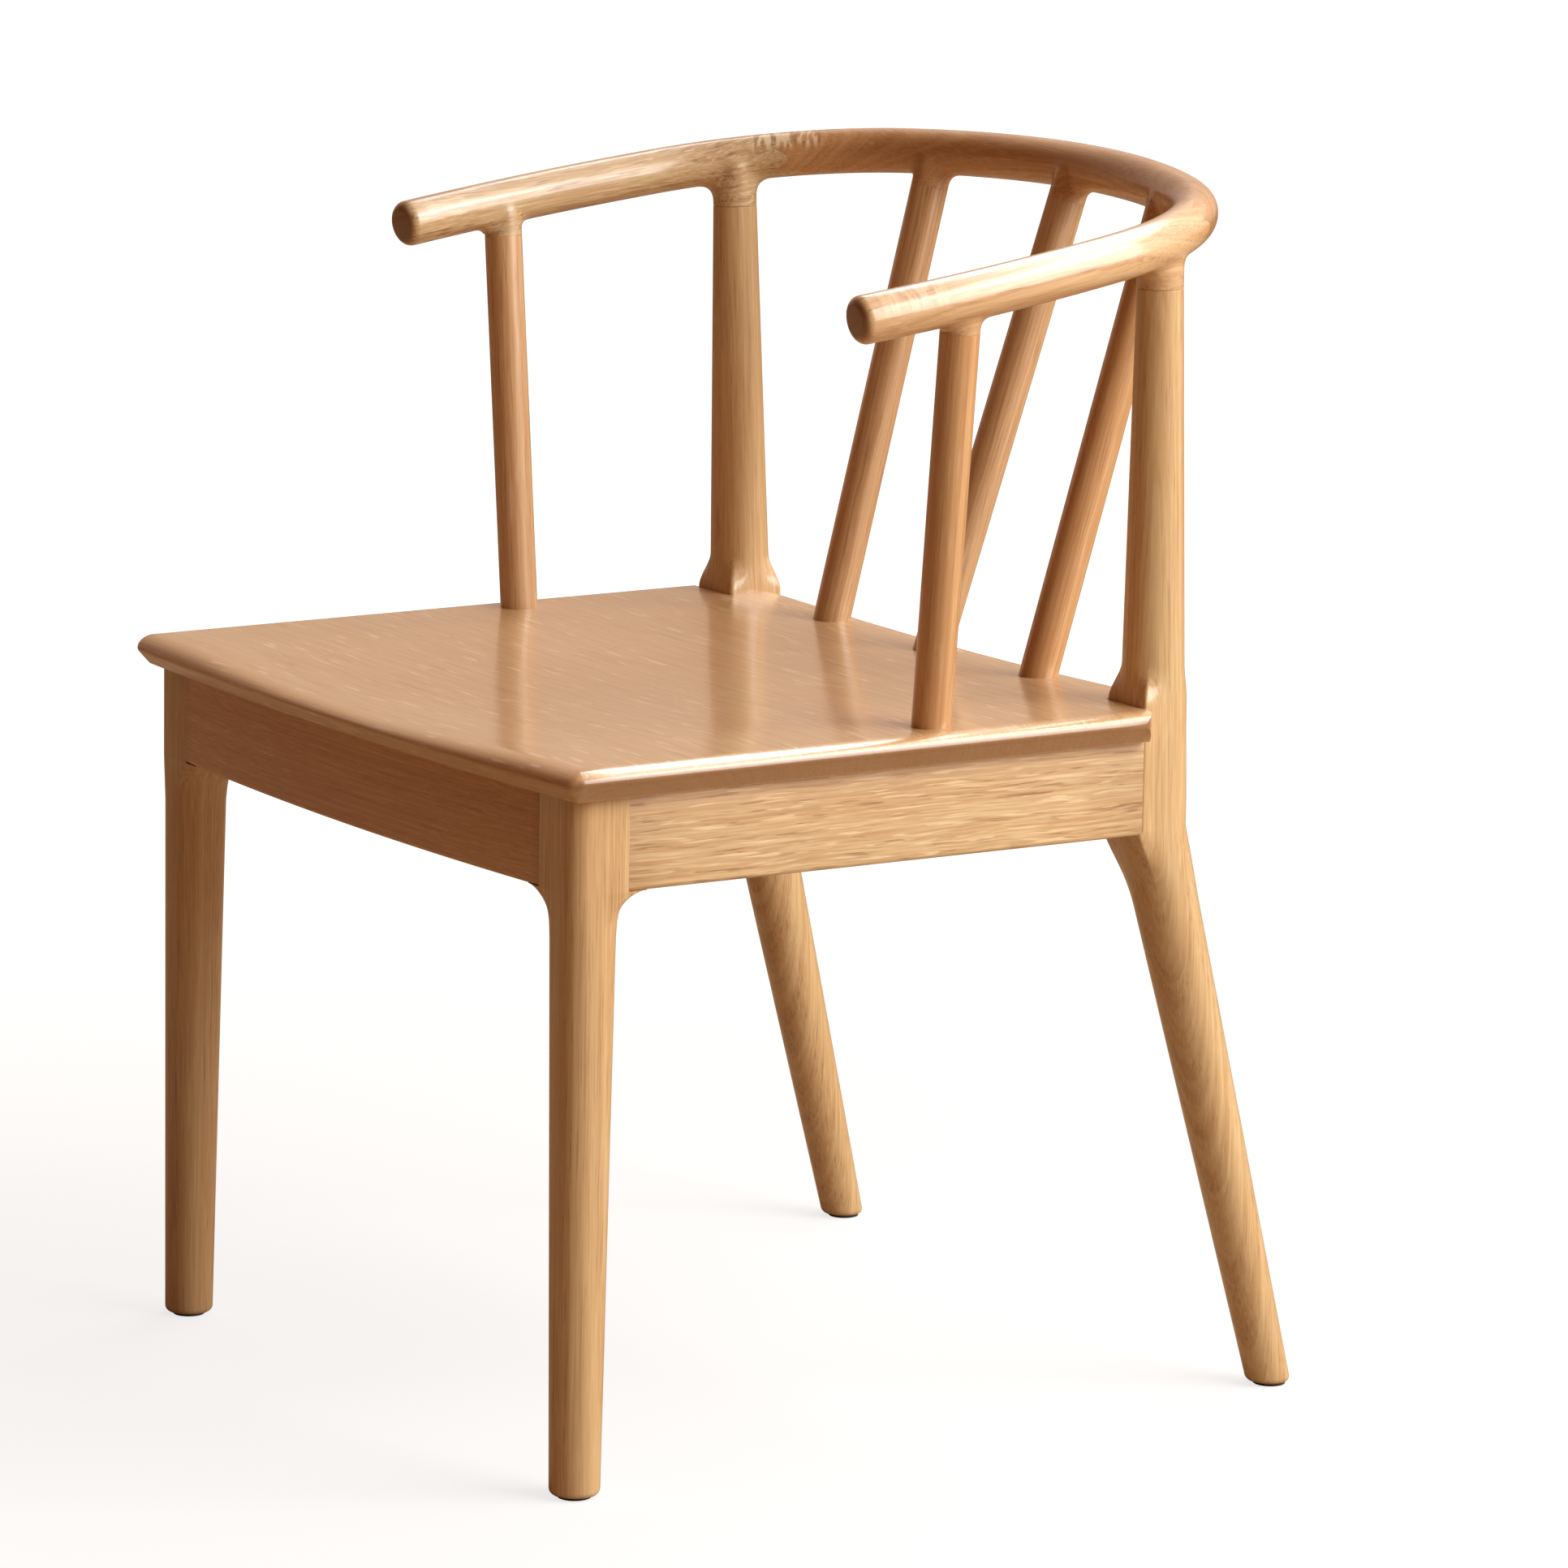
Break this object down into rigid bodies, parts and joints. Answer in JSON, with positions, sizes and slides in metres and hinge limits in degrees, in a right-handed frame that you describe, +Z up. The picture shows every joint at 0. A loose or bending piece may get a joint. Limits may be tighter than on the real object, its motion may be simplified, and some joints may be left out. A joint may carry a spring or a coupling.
{
  "type": "dining armchair",
  "caption": "Wooden dining armchair with a bowed-front panel seat, a bent horseshoe arm-and-back rail on turned posts and spindles, tapered front legs and raked rear legs.",
  "frame": {"origin": "on the floor, under the middle of the overall width and depth", "axes": "+Z up; -Y the way the chair faces; +X the sitter's left"},
  "size_m": [0.5584, 0.56, 0.7523],
  "materials": {
    "oak": "satin lacquer",
    "beech": "plain sanded",
    "steel": "zinc plated",
    "nylon": "matt"
  },
  "bodies": {
    "root": {"seat_panel": "oak", "front_apron": "oak", "rear_apron": "oak", "side_apron_left": "oak", "side_apron_right": "oak", "front_leg_left": "oak", "front_leg_right": "oak", "rear_leg_left": "oak", "rear_leg_right": "oak", "crest_rail": "oak", "arm_rail_left": "oak", "arm_rail_right": "oak", "arm_post_left": "oak", "arm_post_right": "oak", "back_spindle_left": "oak", "back_spindle_centre": "oak", "back_spindle_right": "oak", "corner_block_front_left": "beech", "corner_block_front_right": "beech", "corner_block_rear_left": "beech", "corner_block_rear_right": "beech", "corner_block_screws": "steel", "seat_screws": "steel", "glide_front_left": "nylon", "glide_front_right": "nylon", "glide_rear_left": "nylon", "glide_rear_right": "nylon"}
  },
  "joints": []
}
